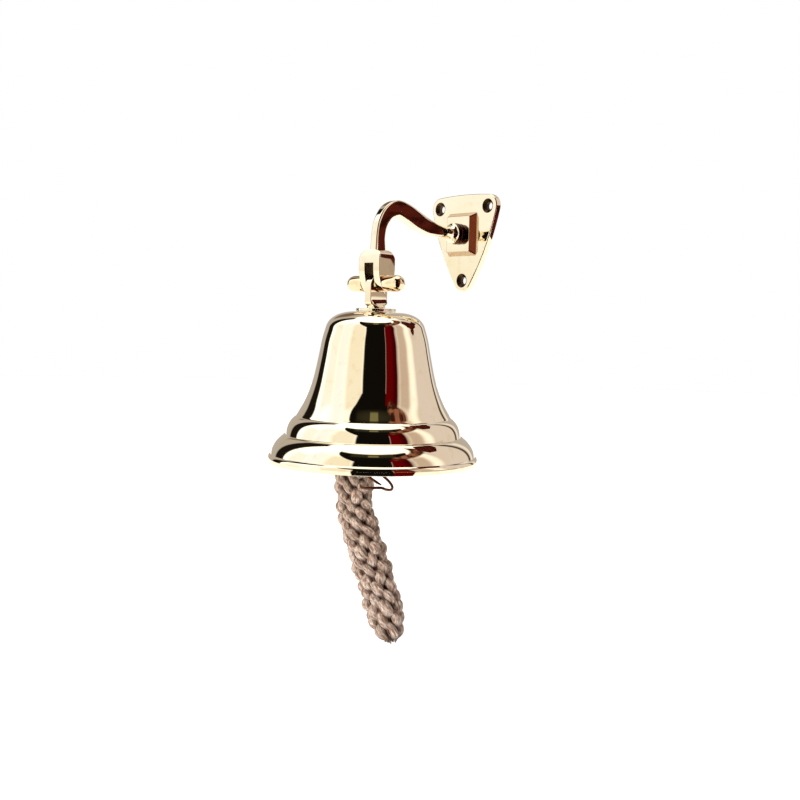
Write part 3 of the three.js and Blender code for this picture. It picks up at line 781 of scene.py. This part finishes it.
def make_plate():
    mesh = bmesh.new()
    outline = plate_outline()
    rings = [(0.35, 0), (0.1, 0.08), (0, 0.35)]
    for angle in quarter_turn(6):
        rings.append((
            PLATE_EDGE * (1 - math.cos(angle)),
            PLATE_THICKNESS - PLATE_EDGE * (1 - math.sin(angle)),
        ))
    rows = skin(mesh, [
        [on_wall(p.x, out, p.y) for p in inset(outline, distance)] for distance, out in rings
    ], capped=False)

    materials = (POLISHED, BORE, EDGE)
    known = set(mesh.faces)
    boss = skin(mesh, [
        [on_wall(x, PLATE_THICKNESS + out, ARM_BELOW_ORIGIN + z)
         for x, z in rectangle(BOSS_HALF_WIDTH - inward, BOSS_HALF_HEIGHT - inward, 1.1, 6)]
        for inward, out in BOSS_SIDE
    ], capped=False)
    # The boss's sides take the brushed brass with painted shade.
    paint_others(mesh, known, materials.index(EDGE))

    def wall_turn(x0, z0):
        return lambda x, y, out: on_wall(x0 + x, out, z0 + y)

    known = set(mesh.faces)
    front = PLATE_THICKNESS + BOSS_HEIGHT
    pocket_radius = SPIGOT_RADIUS + POCKET_GAP
    pocket_floor = front - SPIGOT_LENGTH - POCKET_GAP
    pocket = lathe(mesh, [
        (pocket_radius, front), (pocket_radius, pocket_floor),
        (ARM_SCREW_HOLE_RADIUS, pocket_floor), (ARM_SCREW_HOLE_RADIUS, RECESS_DEPTH),
        (RECESS_RADIUS, RECESS_DEPTH), (RECESS_RADIUS, 0),
    ], wall_turn(0, ARM_BELOW_ORIGIN), 64)
    holes = []
    for x, z in [(HOLE_SPREAD, 0), (-HOLE_SPREAD, 0), (0, -LOWER_HOLE_DROP)]:
        sink = COUNTERSINK_RADIUS - SCREW_HOLE_RADIUS
        holes.append(lathe(mesh, [
            (COUNTERSINK_RADIUS + 0.25, PLATE_THICKNESS),
            (COUNTERSINK_RADIUS + 0.05, PLATE_THICKNESS - 0.06),
            (COUNTERSINK_RADIUS - 0.15, PLATE_THICKNESS - 0.25),
            (SCREW_HOLE_RADIUS, PLATE_THICKNESS - sink), (SCREW_HOLE_RADIUS, 0),
        ], wall_turn(x, z), 48))
    # The holes and the pocket take the painted shade brass.
    paint_others(mesh, known, materials.index(BORE))
    flat_fill(mesh, rows[-1], boss[0], *[hole[0] for hole in holes])
    flat_fill(mesh, boss[-1], pocket[0])
    flat_fill(mesh, rows[0], pocket[-1], *[hole[-1] for hole in holes])
    plate = as_object("wall_plate_casting", mesh, *materials, sharp=40)
    keep_flats_flat(plate)
    return belongs(plate, "bracket", "polished_brass", "wall_plate")


# ---- Swan-neck arm --------------------------------------------------------------------------

# Stations of the arm: distance from the bell's axis, height, width along x, thickness and how
# square the section is.
ARM_STATIONS = [
    (0.4, 119, 6.2, 9.6, 7), (0.5, 127.5, 5.4, 8.0, 7), (0.6, 134.0, 5.2, 7.3, 7),
    (2.2, 141.5, 5.3, 7.6, 7.5), (7.0, 148.3, 5.6, 8.6, 8), (14.0, 151.2, 6.0, 9.5, 8),
    (22.0, 149.3, 6.4, 10.4, 8), (32.0, 145.0, 6.8, 10.3, 8), (41.0, 142.0, 6.8, 9.2, 7),
    (50.0, 140.4, 6.6, 7.4, 5), (55.5, 140, 6.45, 6.45, 3),
]
COLLAR_FACE = 5.5          # the collar's rim is painted dark, as shade, from here to the boss


def collar_profile():
    """Radius and distance from the boss's face, from the arm outwards to the flange."""
    return [
        (3.25, 12.5), (3.35, 11), (3.6, 9.4), *bezier([(3.75, 8.6), (4.2, 6.6), (6.0, 5.55)], 8),
        (6.22, 5.4), (6.3, 5.15), (6.3, 3.3), (6.2, 3.12), (5.85, 3.0), (5.7, 2.85), (5.7, 2.45),
        (5.85, 2.3), (6.4, 2.2), (6.58, 2.05), (6.6, 1.85), (6.6, 0.5), (6.45, 0.3),
    ]


def swan_neck():
    mesh = bmesh.new()
    stations = spline([s[:2] for s in ARM_STATIONS], 10)
    sizes = spline([s[2:] for s in ARM_STATIONS], 10, 0.01)
    rings = []
    last = len(stations) - 1
    for i, (place, size) in enumerate(zip(stations, sizes)):
        step = stations[min(i + 1, last)] - stations[max(i - 1, 0)]
        y, z = step / np.linalg.norm(step)
        rings.append([
            at(a, place[0] - z * b, place[1] + y * b)
            for a, b in superellipse(size[0] / 2, size[1] / 2, size[2])
        ])
    face = WALL_TO_BELL_AXIS - PLATE_THICKNESS - BOSS_HEIGHT
    spigot = [(SPIGOT_RADIUS, 0.3), (SPIGOT_RADIUS, -SPIGOT_LENGTH)]
    for radius, out in [*collar_profile(), *spigot]:
        if out > COLLAR_FACE:
            rim_start = len(rings) + 1
        rings.append([
            at(a, face - out, ARM_HEIGHT + b) for a, b in superellipse(radius, radius, 2)
        ])
    rows = skin(mesh, rings)
    paint_rows(mesh, rows[rim_start:])
    # The collar's rim takes the painted shade brass.
    return as_object("swan_neck", mesh, POLISHED, SHADED_RIM)


FORK_TIP = 101.2
FORK_SPRINGING = 116       # where its rounded end begins
FORK_SHOULDER = 120.4
FORK_HALF_WIDTH = 9
FORK_HALF_DEPTH = 6.4
SLOT_HALF_WIDTH = 3.9
SLOT_TOP = 118
PIN_BORE_RADIUS = 3.15


def fork_sections():
    """Half width, half depth, corner radius and height, from the rounded end up to the neck."""
    sections = []
    for angle in quarter_turn(24):
        height = FORK_SPRINGING - (FORK_SPRINGING - FORK_TIP) * math.cos(angle)
        sections.append(
            (FORK_HALF_WIDTH, max(0.25, FORK_HALF_DEPTH * math.sin(angle)), 0.5, height))
    sections.append((FORK_HALF_WIDTH, FORK_HALF_DEPTH, 0.5, FORK_SHOULDER))
    for i in range(1, 15):
        t = i / 14
        arch = math.sqrt(max(0, 1 - t ** 2.3))
        sections.append((
            3.2 + (FORK_HALF_WIDTH - 3.2) * arch, FORK_HALF_DEPTH - 1.9 * t ** 1.15,
            0.5 + 0.5 * t, FORK_SHOULDER + 5.4 * t,
        ))
    return sections


def fork():
    mesh = bmesh.new()
    skin(mesh, [
        [at(x, y, height) for x, y in rectangle(
            half_x, half_y, min(radius, half_x * 0.9, half_y * 0.9), 5)]
        for half_x, half_y, radius, height in fork_sections()
    ])
    slot = bmesh.new()
    skin(slot, [
        [at(x, y, height) for x, y in rectangle(SLOT_HALF_WIDTH, 9, 0.01, 1)]
        for height in (98, SLOT_TOP)
    ])
    # The slot's faces take the unpolished brass with painted shade.
    return combine(
        as_object("fork", mesh, POLISHED), "DIFFERENCE", as_object("slot", slot, UNPOLISHED_SHADED),
        plug(PIN_BORE_RADIUS, -12, 12, along_pin, POLISHED))


def make_arm():
    arm = combine(fork(), "UNION", swan_neck())
    arm.name = arm.data.name = "arm_casting"
    arm.data.set_sharp_from_angle(angle=math.radians(33))
    keep_flats_flat(arm)
    return belongs(arm, "bracket", "polished_brass", "swan_neck_arm")


# ---- Pin and cap nut ------------------------------------------------------------------------

PIN_HEAD_RADIUS = 4.8
DOME = 5.2                 # length of the head's round end


def barrel_head(near, far, side):
    """Profile of a barrel with a full round end, out along side from the fork's cheek."""
    profile = [
        (PIN_HEAD_RADIUS - 0.35, near), (PIN_HEAD_RADIUS - 0.1, near + 0.1),
        (PIN_HEAD_RADIUS, near + 0.4),
    ]
    for angle in quarter_turn(16):
        profile.append((
            PIN_HEAD_RADIUS * math.cos(angle), far - DOME + DOME * math.sin(angle)))
    return [(r, h * side) for r, h in profile]


def make_pin():
    mesh = bmesh.new()
    head = list(reversed(barrel_head(9.3, 24, -1)))
    shank = [(3, -9.3), (3, 8.8), (2.5, 8.8), (2.5, 15.4), (2, 16), (0, 16)]
    lathe(mesh, head + shank, along_pin, 64)
    pin = as_object("pin_with_barrel_head", mesh, TURNED)
    return belongs(pin, "bracket", "turned_brass", "pivot_pin")


def make_cap_nut():
    mesh = bmesh.new()
    bore = [(0, 16.6), (2.8, 16.6), (2.8, 9.3)]
    lathe(mesh, bore + barrel_head(9.3, 22.4, 1), along_pin, 64)
    nut = as_object("barrel_cap_nut", mesh, TURNED)
    return belongs(nut, "bracket", "turned_brass", "pivot_cap_nut")


# ---- Bell -----------------------------------------------------------------------------------

def make_shell():
    crown = [(4.3, 89.1), (4.45, 89.3), (4.7, 89.4), (8, 89.4)]
    shoulder = bezier([(12.5, 89.4), (20.5, 89.2), (27.4, 86.4), (29.2, 80.4)], 24)
    waist = [tuple(p) for p in spline(
        [(29.2, 80.4), (31.3, 73), (33.4, 62), (36.4, 48.5), (40.6, 37), (46.1, 27.1)], 12, 0.01)]
    upper = bezier([(46.9, 26.55), (51, 23.5), (52, 16.6)], 18)
    lower = bezier([(53.3, 15.85), (59.4, 11.5), (60.7, 5.1)], 18)
    lip = bezier([(61.55, 4.4), (62.9, 3), (62.2, 0.3)], 8)
    inside = [tuple(p) for p in spline([
        (58.9, 0.15), (52.9, 10), (46.4, 20), (40.9, 30), (36.5, 40), (33.1, 50), (30.7, 60),
        (28.9, 70), (27, 78)], 6, 0.01)]
    dome = bezier([(27, 78), (25.4, 85.6), (13, 85.6)], 12)
    profile = [
        *crown, *shoulder, *waist[1:-1], (45.95, 27.3), (46.15, 27.02), (46.45, 26.82), *upper[:-1],
        (52.05, 16.35), (52.3, 16.12), (52.75, 16.0), *lower[:-1], (60.75, 4.95), (60.95, 4.75),
        *lip, (61.9, 0.06), (61.5, 0), (59.4, 0), *inside, *dome[1:], (4.3, 85.6),
    ]
    mesh = bmesh.new()
    rows = lathe(mesh, profile, at, 256, closed=True)
    paint_rows(mesh, rows[-len(inside) - len(dome):])
    shell = as_object("bell", mesh, SPUN, TURNED, sharp=30)
    return belongs(shell, "bell", "polished_brass", "bell_shell")


def make_washer(name, radius, low, high, material, slot, node):
    mesh = bmesh.new()
    edge = min(0.35, (high - low) / 3)
    lathe(mesh, rounded([
        (4.3, low, 0), (radius, low, edge), (radius, high, edge), (4.3, high, 0),
    ], 5), at, 96, closed=True)
    return belongs(as_object(name, mesh, material), "bell", slot, node)


HANGER_SPRINGING = 104     # where the lug's rounded top begins
HANGER_TOP = 111.3
HANGER_HALF_WIDTH = 2.5
LUG_HALF_DEPTH = 6.7


def make_hanger():
    """Stud, round foot, flared neck and lug, by half width, half depth, squareness, height."""
    outline = [
        (4, 4, 2, 78.9), (4, 4, 2, 91.6), (5.25, 5.25, 2, 91.6), (5.4, 5.4, 2, 91.75),
        (5.4, 5.4, 2, 91.95), (5.15, 5.3, 2.1, 92.3), (4.6, 5.4, 2.6, 92.8), (4.0, 6.0, 4, 93.4),
        (3.5, 6.55, 7, 94.1), (3.1, 6.7, 10, 94.9), (2.7, 6.7, 14, 95.7), (2.5, 6.7, 18, 96.7),
        (2.5, 6.7, 20, 100), (2.5, 6.7, 20, HANGER_SPRINGING),
    ]
    for angle in quarter_turn(16)[1:]:
        outline.append((
            HANGER_HALF_WIDTH, max(0.3, LUG_HALF_DEPTH * math.cos(angle)), 20,
            HANGER_SPRINGING + (HANGER_TOP - HANGER_SPRINGING) * math.sin(angle),
        ))
    outline[-1] = (HANGER_HALF_WIDTH - 0.25, *outline[-1][1:])
    mesh = bmesh.new()
    skin(mesh, [
        [at(x, y, height) for x, y in superellipse(half_x, half_y, power, 72)]
        for half_x, half_y, power, height in outline
    ])
    hanger = as_object("hanger_lug", mesh, POLISHED, sharp=40)
    combine(hanger, "DIFFERENCE", plug(3.1, -8, 8, along_pin, POLISHED))
    return belongs(hanger, "bell", "polished_brass", "bell_hanger")


# ---- Clapper and its eye --------------------------------------------------------------------

EYE_RADIUS = 5.1
LOOP_WIRE_RADIUS = 1.8
EYE_WIRE_RADIUS = 1.9
TAIL_HEIGHT = -4.2         # of the hole in the clapper's tail
NUT_CORNER_RADIUS = 8.1
NUT_TOP = 83.8
NUT_BOTTOM = 76.6
BALL_RADIUS = 15.5
BALL_HEIGHT = 19
BALL_FLAT_RADIUS = 4.5     # of the flats where the rod goes through


def wire_loop(radius, wire_radius, height, lies_along_x):
    mesh = bmesh.new()
    profile = [
        (radius + wire_radius * math.cos(math.tau * k / 24),
         wire_radius * math.sin(math.tau * k / 24))
        for k in range(24)
    ]

    def place(x, y, z):
        return at(x, z, height + y) if lies_along_x else at(z, x, height + y)

    lathe(mesh, profile, place, 64, closed=True)
    return as_object("loop", mesh, CAST)


def make_eye_nut():
    mesh = bmesh.new()
    sixth = math.pi / 3
    rings = []
    for share, height in [
        (0.9, NUT_BOTTOM), (0.96, NUT_BOTTOM + 0.3), (1, NUT_BOTTOM + 0.9), (1, NUT_TOP - 0.9),
        (0.96, NUT_TOP - 0.3), (0.9, NUT_TOP),
    ]:
        ring = []
        for i in range(72):
            angle = math.tau * i / 72
            from_flat = (angle + sixth / 2) % sixth - sixth / 2
            flat = NUT_CORNER_RADIUS * math.cos(sixth / 2) / math.cos(from_flat)
            r = min(flat, NUT_CORNER_RADIUS * share)
            ring.append(at(r * math.cos(angle), r * math.sin(angle), height))
        rings.append(ring)
    skin(mesh, rings)
    nut = as_object("eye_nut", mesh, CAST, sharp=25)
    root = bmesh.new()
    lathe(root, [(0, 75.2), (2.4, 75.2), (3.2, 75.8), (4.6, 76.8), (0, 76.8)], at, 48)
    eye_height = CLAPPER_PIVOT_HEIGHT + EYE_RADIUS - EYE_WIRE_RADIUS - LOOP_WIRE_RADIUS - 0.3
    eye = wire_loop(EYE_RADIUS, EYE_WIRE_RADIUS, eye_height, False)
    combine(nut, "UNION", as_object("root", root, CAST), eye)
    combine(nut, "DIFFERENCE", plug(4.3, 78.5, 86, at, CAST, 48))
    return belongs(nut, "bell", "cast_brass", "clapper_eye_nut")


def make_clapper():
    def across_tail(x, y, z):
        return at(x, z, TAIL_HEIGHT + y)

    rod = bmesh.new()
    lathe(rod, [
        (0, -1.5), (1.7, -1.5), (2.1, 0.3), (2.5, 1.8), (2.6, 3), (2.6, 54), (2.45, 56.5),
        (2.1, 59.5), (0, 60.6),
    ], at, 48)
    shaft = as_object("clapper_casting", rod, CAST)
    tail = bmesh.new()
    lathe(tail, rounded([(0, -1.6, 0), (4.4, -1.6, 0.5), (4.4, 1.6, 0.5), (0, 1.6, 0)], 5),
          across_tail, 64)
    loop = wire_loop(EYE_RADIUS, LOOP_WIRE_RADIUS, CLAPPER_PIVOT_HEIGHT - EYE_RADIUS, True)
    combine(shaft, "UNION", as_object("tail", tail, CAST), loop)
    combine(shaft, "DIFFERENCE", plug(2.5, -5, 5, across_tail, CAST, 48))
    belongs(shaft, "clapper", "cast_brass", "clapper_rod")

    flat = math.acos(BALL_FLAT_RADIUS / BALL_RADIUS)
    end = BALL_RADIUS * math.sin(flat)
    profile = [(2.75, BALL_HEIGHT - end)]
    for i in range(41):
        angle = flat * (2 * i / 40 - 1)
        profile.append((
            BALL_RADIUS * math.cos(angle), BALL_HEIGHT + BALL_RADIUS * math.sin(angle)))
    profile.append((2.75, BALL_HEIGHT + end))
    mesh = bmesh.new()
    lathe(mesh, profile, at, 96, closed=True)
    ball = as_object("striking_ball", mesh, TURNED, sharp=40)
    belongs(ball, "clapper", "turned_brass", "clapper_ball")


# ---- Wire ring ------------------------------------------------------------------------------

RING_WIRE_RADIUS = 0.78
RING_RADIUS = 10.3
RING_OVAL = 0.72           # its shorter half over its longer one
RING_DOWN = Vector((0.583, 0.615, -0.53)).normalized()
RING_AWAY = Vector((-0.562, 0.774, 0.28)).normalized()
RING_HOOK = [(-5.2, -5.0, -14.0), (0.2, -8.6, -14.5), (6.6, -9.6, -14.1)]
THREAD_ANGLE = math.radians(121)
THREAD_POINT = Vector((0, 0, -4.8))
JOIN_DEGREES = 296
PAST_JOIN = 250            # after these degrees the wire lifts to pass beside its start
PAST_LIFT = 1.7


def make_ring():
    """Wire that runs through the clapper's tail, closes past itself and hooks into the rope."""
    route = list(RING_HOOK)
    for degrees in range(JOIN_DEGREES, JOIN_DEGREES + 353, 16):
        angle = math.radians(degrees)
        share = min(1, max(0, (degrees - JOIN_DEGREES - PAST_JOIN) / 80))
        down = RING_RADIUS * (math.cos(angle) - math.cos(THREAD_ANGLE))
        away = RING_OVAL * RING_RADIUS * (math.sin(angle) - math.sin(THREAD_ANGLE))
        lift = PAST_LIFT * share * share * (3 - 2 * share)
        route.append(tuple(
            THREAD_POINT + RING_DOWN * down + RING_AWAY * away
            + RING_DOWN.cross(RING_AWAY) * lift))

    def radius_at(share):
        """The wire's radius in metres, less at its cut ends."""
        return RING_WIRE_RADIUS * min(1, 0.5 + 12 * min(share, 1 - share)) * MM

    mesh = bmesh.new()
    skin(mesh, sweep([at(*p) for p in spline(route, 8)], radius_at, 16))
    ring = as_object("hook_ring", mesh, WIRE, sharp=60)
    return belongs(ring, "lanyard", "brass_wire", "wire_ring")


make_plate()
make_arm()
make_pin()
make_cap_nut()
make_hanger()
make_washer("crown_disc", 11.8, 89.7, 91.3, POLISHED, "polished_brass", "crown_washer")
make_shell()
make_washer("inner_disc", 9.5, 84.1, 85.3, CAST, "cast_brass", "inner_washer")
make_eye_nut()
make_clapper()
make_ring()

for node in ("arm_screw", "arm_spring_washer"):
    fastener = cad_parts[node]
    fastener.data.materials.clear()
    fastener.data.materials.append(ZINC)


# ---- Studio ---------------------------------------------------------------------------------

FLOOR_BELOW = 0.35
FLOOR_HEIGHT = cad_box[0][2] - FLOOR_BELOW
FLOOR_RADIUS = 9
STRIP_NEAR = 0.3
STRIP_FAR = 8.9
STRIP_LIFT = 0.002
LAMP_BEARING = CAMERA_AZIMUTH - math.radians(48)
LAMP_RISE = math.radians(12)
LAMP_SIZE = math.radians(12)

# What the brass mirrors, painted in this order: bearings from the camera's own, rises and
# softness in degrees, and colour.
BACKDROP = (1.6, 1.6, 1.58)
WALLS = [
    ((-60, -18), (-90, 52), 8, (1.02, 0.96, 0.83)),        # cream wall on the left
    ((-84, -58), (-90, 52), 6, (1.1, 1.15, 1.22)),         # cooler wall beyond it
    ((44, 80), (-90, 52), 12, (0.61, 0.49, 0.43)),         # tan wall on the right
    ((86, 150), (-90, 60), 5, (0.76, 0.68, 0.66)),
    ((75, 83), (9, 46), 4, (1.35, 1.2, 1.15)),             # highlight between them
    ((-106, -82), (-90, 34), 3, (1.1, 1.12, 1.13)),        # what the plate's face mirrors
    ((-106, -82), (-90, 3), 2, (1.02, 1.0, 0.9)),
    ((-180, -128), (-90, 60), 3, (0.5, 0.46, 0.43)),       # behind the bell
    ((150, 180), (-90, 60), 3, (0.5, 0.46, 0.43)),
    ((-136, -116), (-90, 62), 1.5, (0.01, 0.008, 0.006)),
    ((137, 143), (-90, 60), 1.2, (0.08, 0.06, 0.05)),
    ((70, 104), (-16, 6), 1.5, (0.46, 0.37, 0.31)),        # grey shade low on the right
    ((-180, -152), (22, 44), 3, (0.2, 0.12, 0.08)),
]
CURTAIN = [
    ((24, 47), (-14, 44), 1.0, (0.115, 0.0006, 0.0015)),
    ((39, 49), (-14, 44), 3.5, (0.05, 0.0004, 0.001)),     # its darker edge
    ((26, 45), (1, 10), 1.0, (0.3, 0.08, 0.04)),           # brown for the boss's side
    ((-34, 38), (53, 66), 3.0, (0.03, 0.027, 0.014)),      # glow above the opening
    ((-6, 11), (54, 62), 1.0, (0.2, 0.18, 0.08)),
]
OPENING_COLOR = (0.005, 0.004, 0.003)
SKIN_DARK = (0.05, 0.012, 0.008)
SKIN_LIGHT = (0.3, 0.12, 0.07)

# The card beside the bracket, by x and height in metres, and how far it is behind the wall's
# plane.
RED_CARD = [
    (0.03, -0.028), (0.05, -0.028), (0.06, -0.04), (0.0945, -0.04), (0.125, -0.006),
    (0.125, 0.08), (0.06, 0.08), (0.052, 0.002), (0.03, 0.002),
]
RED_CARD_DEPTH = 0.014


def make_floor():
    mesh = bmesh.new()
    rim = circle(
        Vector((0, 0, FLOOR_HEIGHT)), Vector((1, 0, 0)), Vector((0, 1, 0)), FLOOR_RADIUS, 64)
    mesh.faces.new([mesh.verts.new(p) for p in rim])
    graph = Graph(
        "floor", Base_Color=(0.95, 0.95, 0.95), Roughness=0.9, Emission_Color=(1, 1, 1),
        Emission_Strength=0.35)
    as_object("floor", mesh, graph.material)


def make_world():
    """Bright walls all round, with a dark opening behind the camera and a red curtain by it.
    The camera itself sees plain white."""
    world = bpy.data.worlds.new("studio")
    bpy.context.scene.world = world
    world.use_nodes = True
    world.node_tree.nodes.clear()
    graph = Nodes(world.node_tree)
    calc = graph.calc
    direction = graph.node("ShaderNodeTexCoord").outputs["Generated"]
    x, y, z = graph.node("ShaderNodeSeparateXYZ", direction).outputs
    sine, cosine = math.sin(CAMERA_AZIMUTH), math.cos(CAMERA_AZIMUTH)
    ahead = calc("ADD", calc("MULTIPLY", x, sine), calc("MULTIPLY", y, -cosine))
    right = calc("ADD", calc("MULTIPLY", x, cosine), calc("MULTIPLY", y, sine))
    bearing = calc("MULTIPLY", calc("ARCTAN2", right, ahead), 180 / math.pi)
    rise = calc("MULTIPLY", calc("ARCSINE", z), 180 / math.pi)

    def between(value, low, high, soft):
        """1 from low to high, falling to 0 over soft degrees on either side."""
        up = graph.spread(value, low - soft, low + soft, 0, 1)
        down = graph.spread(value, high - soft, high + soft, 1, 0)
        return calc("MULTIPLY", up, down)

    def paint(look, patches):
        for bearings, rises, soft, color in patches:
            patch = calc(
                "MULTIPLY", between(bearing, *bearings, soft), between(rise, *rises, soft))
            look = graph.mix(patch, look, color)
        return look

    look = paint(BACKDROP, WALLS)
    # The opening widens above a rise of 34 degrees.
    widening = calc("MAXIMUM", calc("MULTIPLY", calc("SUBTRACT", rise, 34), 1.5), 0)
    from_middle = calc("SUBTRACT", calc("ABSOLUTE", calc("SUBTRACT", bearing, 1.5)), widening)
    opening = calc("MULTIPLY", between(from_middle, -90, 23, 1.2), between(rise, -14, 66, 2))
    look = paint(graph.mix(opening, look, OPENING_COLOR), CURTAIN)
    # The hand's reflection is a slanting band, blotched with light and shade.
    slant = calc("SUBTRACT", rise, calc("MULTIPLY", bearing, 0.24))
    grip = calc("MULTIPLY", between(bearing, 30, 116, 2), between(slant, 31, 44, 1.5))
    blotches = graph.spread(graph.noise(9, vector=direction), 0.42, 0.56, 0, 1)
    look = graph.mix(grip, look, graph.mix(blotches, SKIN_DARK, SKIN_LIGHT))

    painted = graph.node("ShaderNodeBackground", look).outputs[0]
    plain = graph.node("ShaderNodeBackground", (1, 1, 1)).outputs[0]
    seen = graph.node("ShaderNodeLightPath").outputs["Is Camera Ray"]
    chosen = graph.node("ShaderNodeMixShader", seen, painted, plain).outputs[0]
    graph.node("ShaderNodeOutputWorld", chosen)


def make_card(name, corners, light, dark):
    """A streaked card that only reflections show."""
    mesh = bmesh.new()
    mesh.faces.new([mesh.verts.new(p) for p in corners])
    graph = Graph(
        name, Base_Color=(0, 0, 0), Roughness=1, Specular_IOR_Level=0, Emission_Strength=1)
    streak = graph.spread(graph.noise(55, 3, graph.place((1, 1, 2))), 0.46, 0.62, 0, 0.85)
    graph.into("Emission Color", graph.mix(streak, light, dark))
    card = as_object(name, mesh, graph.material)
    card.visible_camera = False
    card.visible_shadow = False
    card.visible_diffuse = False


def floor_wedge(first, last):
    """Corners of a strip of floor that runs away from the bell between two bearings."""
    corners = []
    for bearing, reach in [
        (first, STRIP_NEAR), (last, STRIP_NEAR), (last, STRIP_FAR), (first, STRIP_FAR),
    ]:
        spot = BELL_ORIGIN + toward(CAMERA_AZIMUTH + math.radians(bearing)) * reach
        corners.append(Vector((spot.x, spot.y, FLOOR_HEIGHT + STRIP_LIFT)))
    return corners


def make_lamp():
    """Soft light from low on the camera's left, which polished metal doesn't mirror."""
    data = bpy.data.lights.new("side_light", "SUN")
    data.energy = 2.8
    data.angle = LAMP_SIZE
    data.color = (1, 0.97, 0.93)
    lamp = bpy.data.objects.new("side_light", data)
    bpy.context.collection.objects.link(lamp)
    source = toward(LAMP_BEARING, LAMP_RISE)
    lamp.rotation_euler = source.to_track_quat("Z", "Y").to_euler()
    lamp.visible_glossy = False


make_floor()
make_world()
make_lamp()
make_card("red_card", [Vector((x, RED_CARD_DEPTH, z)) for x, z in RED_CARD],
          (0.08, 0.011, 0.007), (0.015, 0.003, 0.002))
make_card("dark_strip", floor_wedge(-21.5, 24), (0.006, 0.005, 0.004), (0.003, 0.002, 0.002))
make_card("red_strip", floor_wedge(24, 47), (0.11, 0.0006, 0.0015), (0.05, 0.0004, 0.001))
bpy.context.scene.view_settings.view_transform = "Standard"
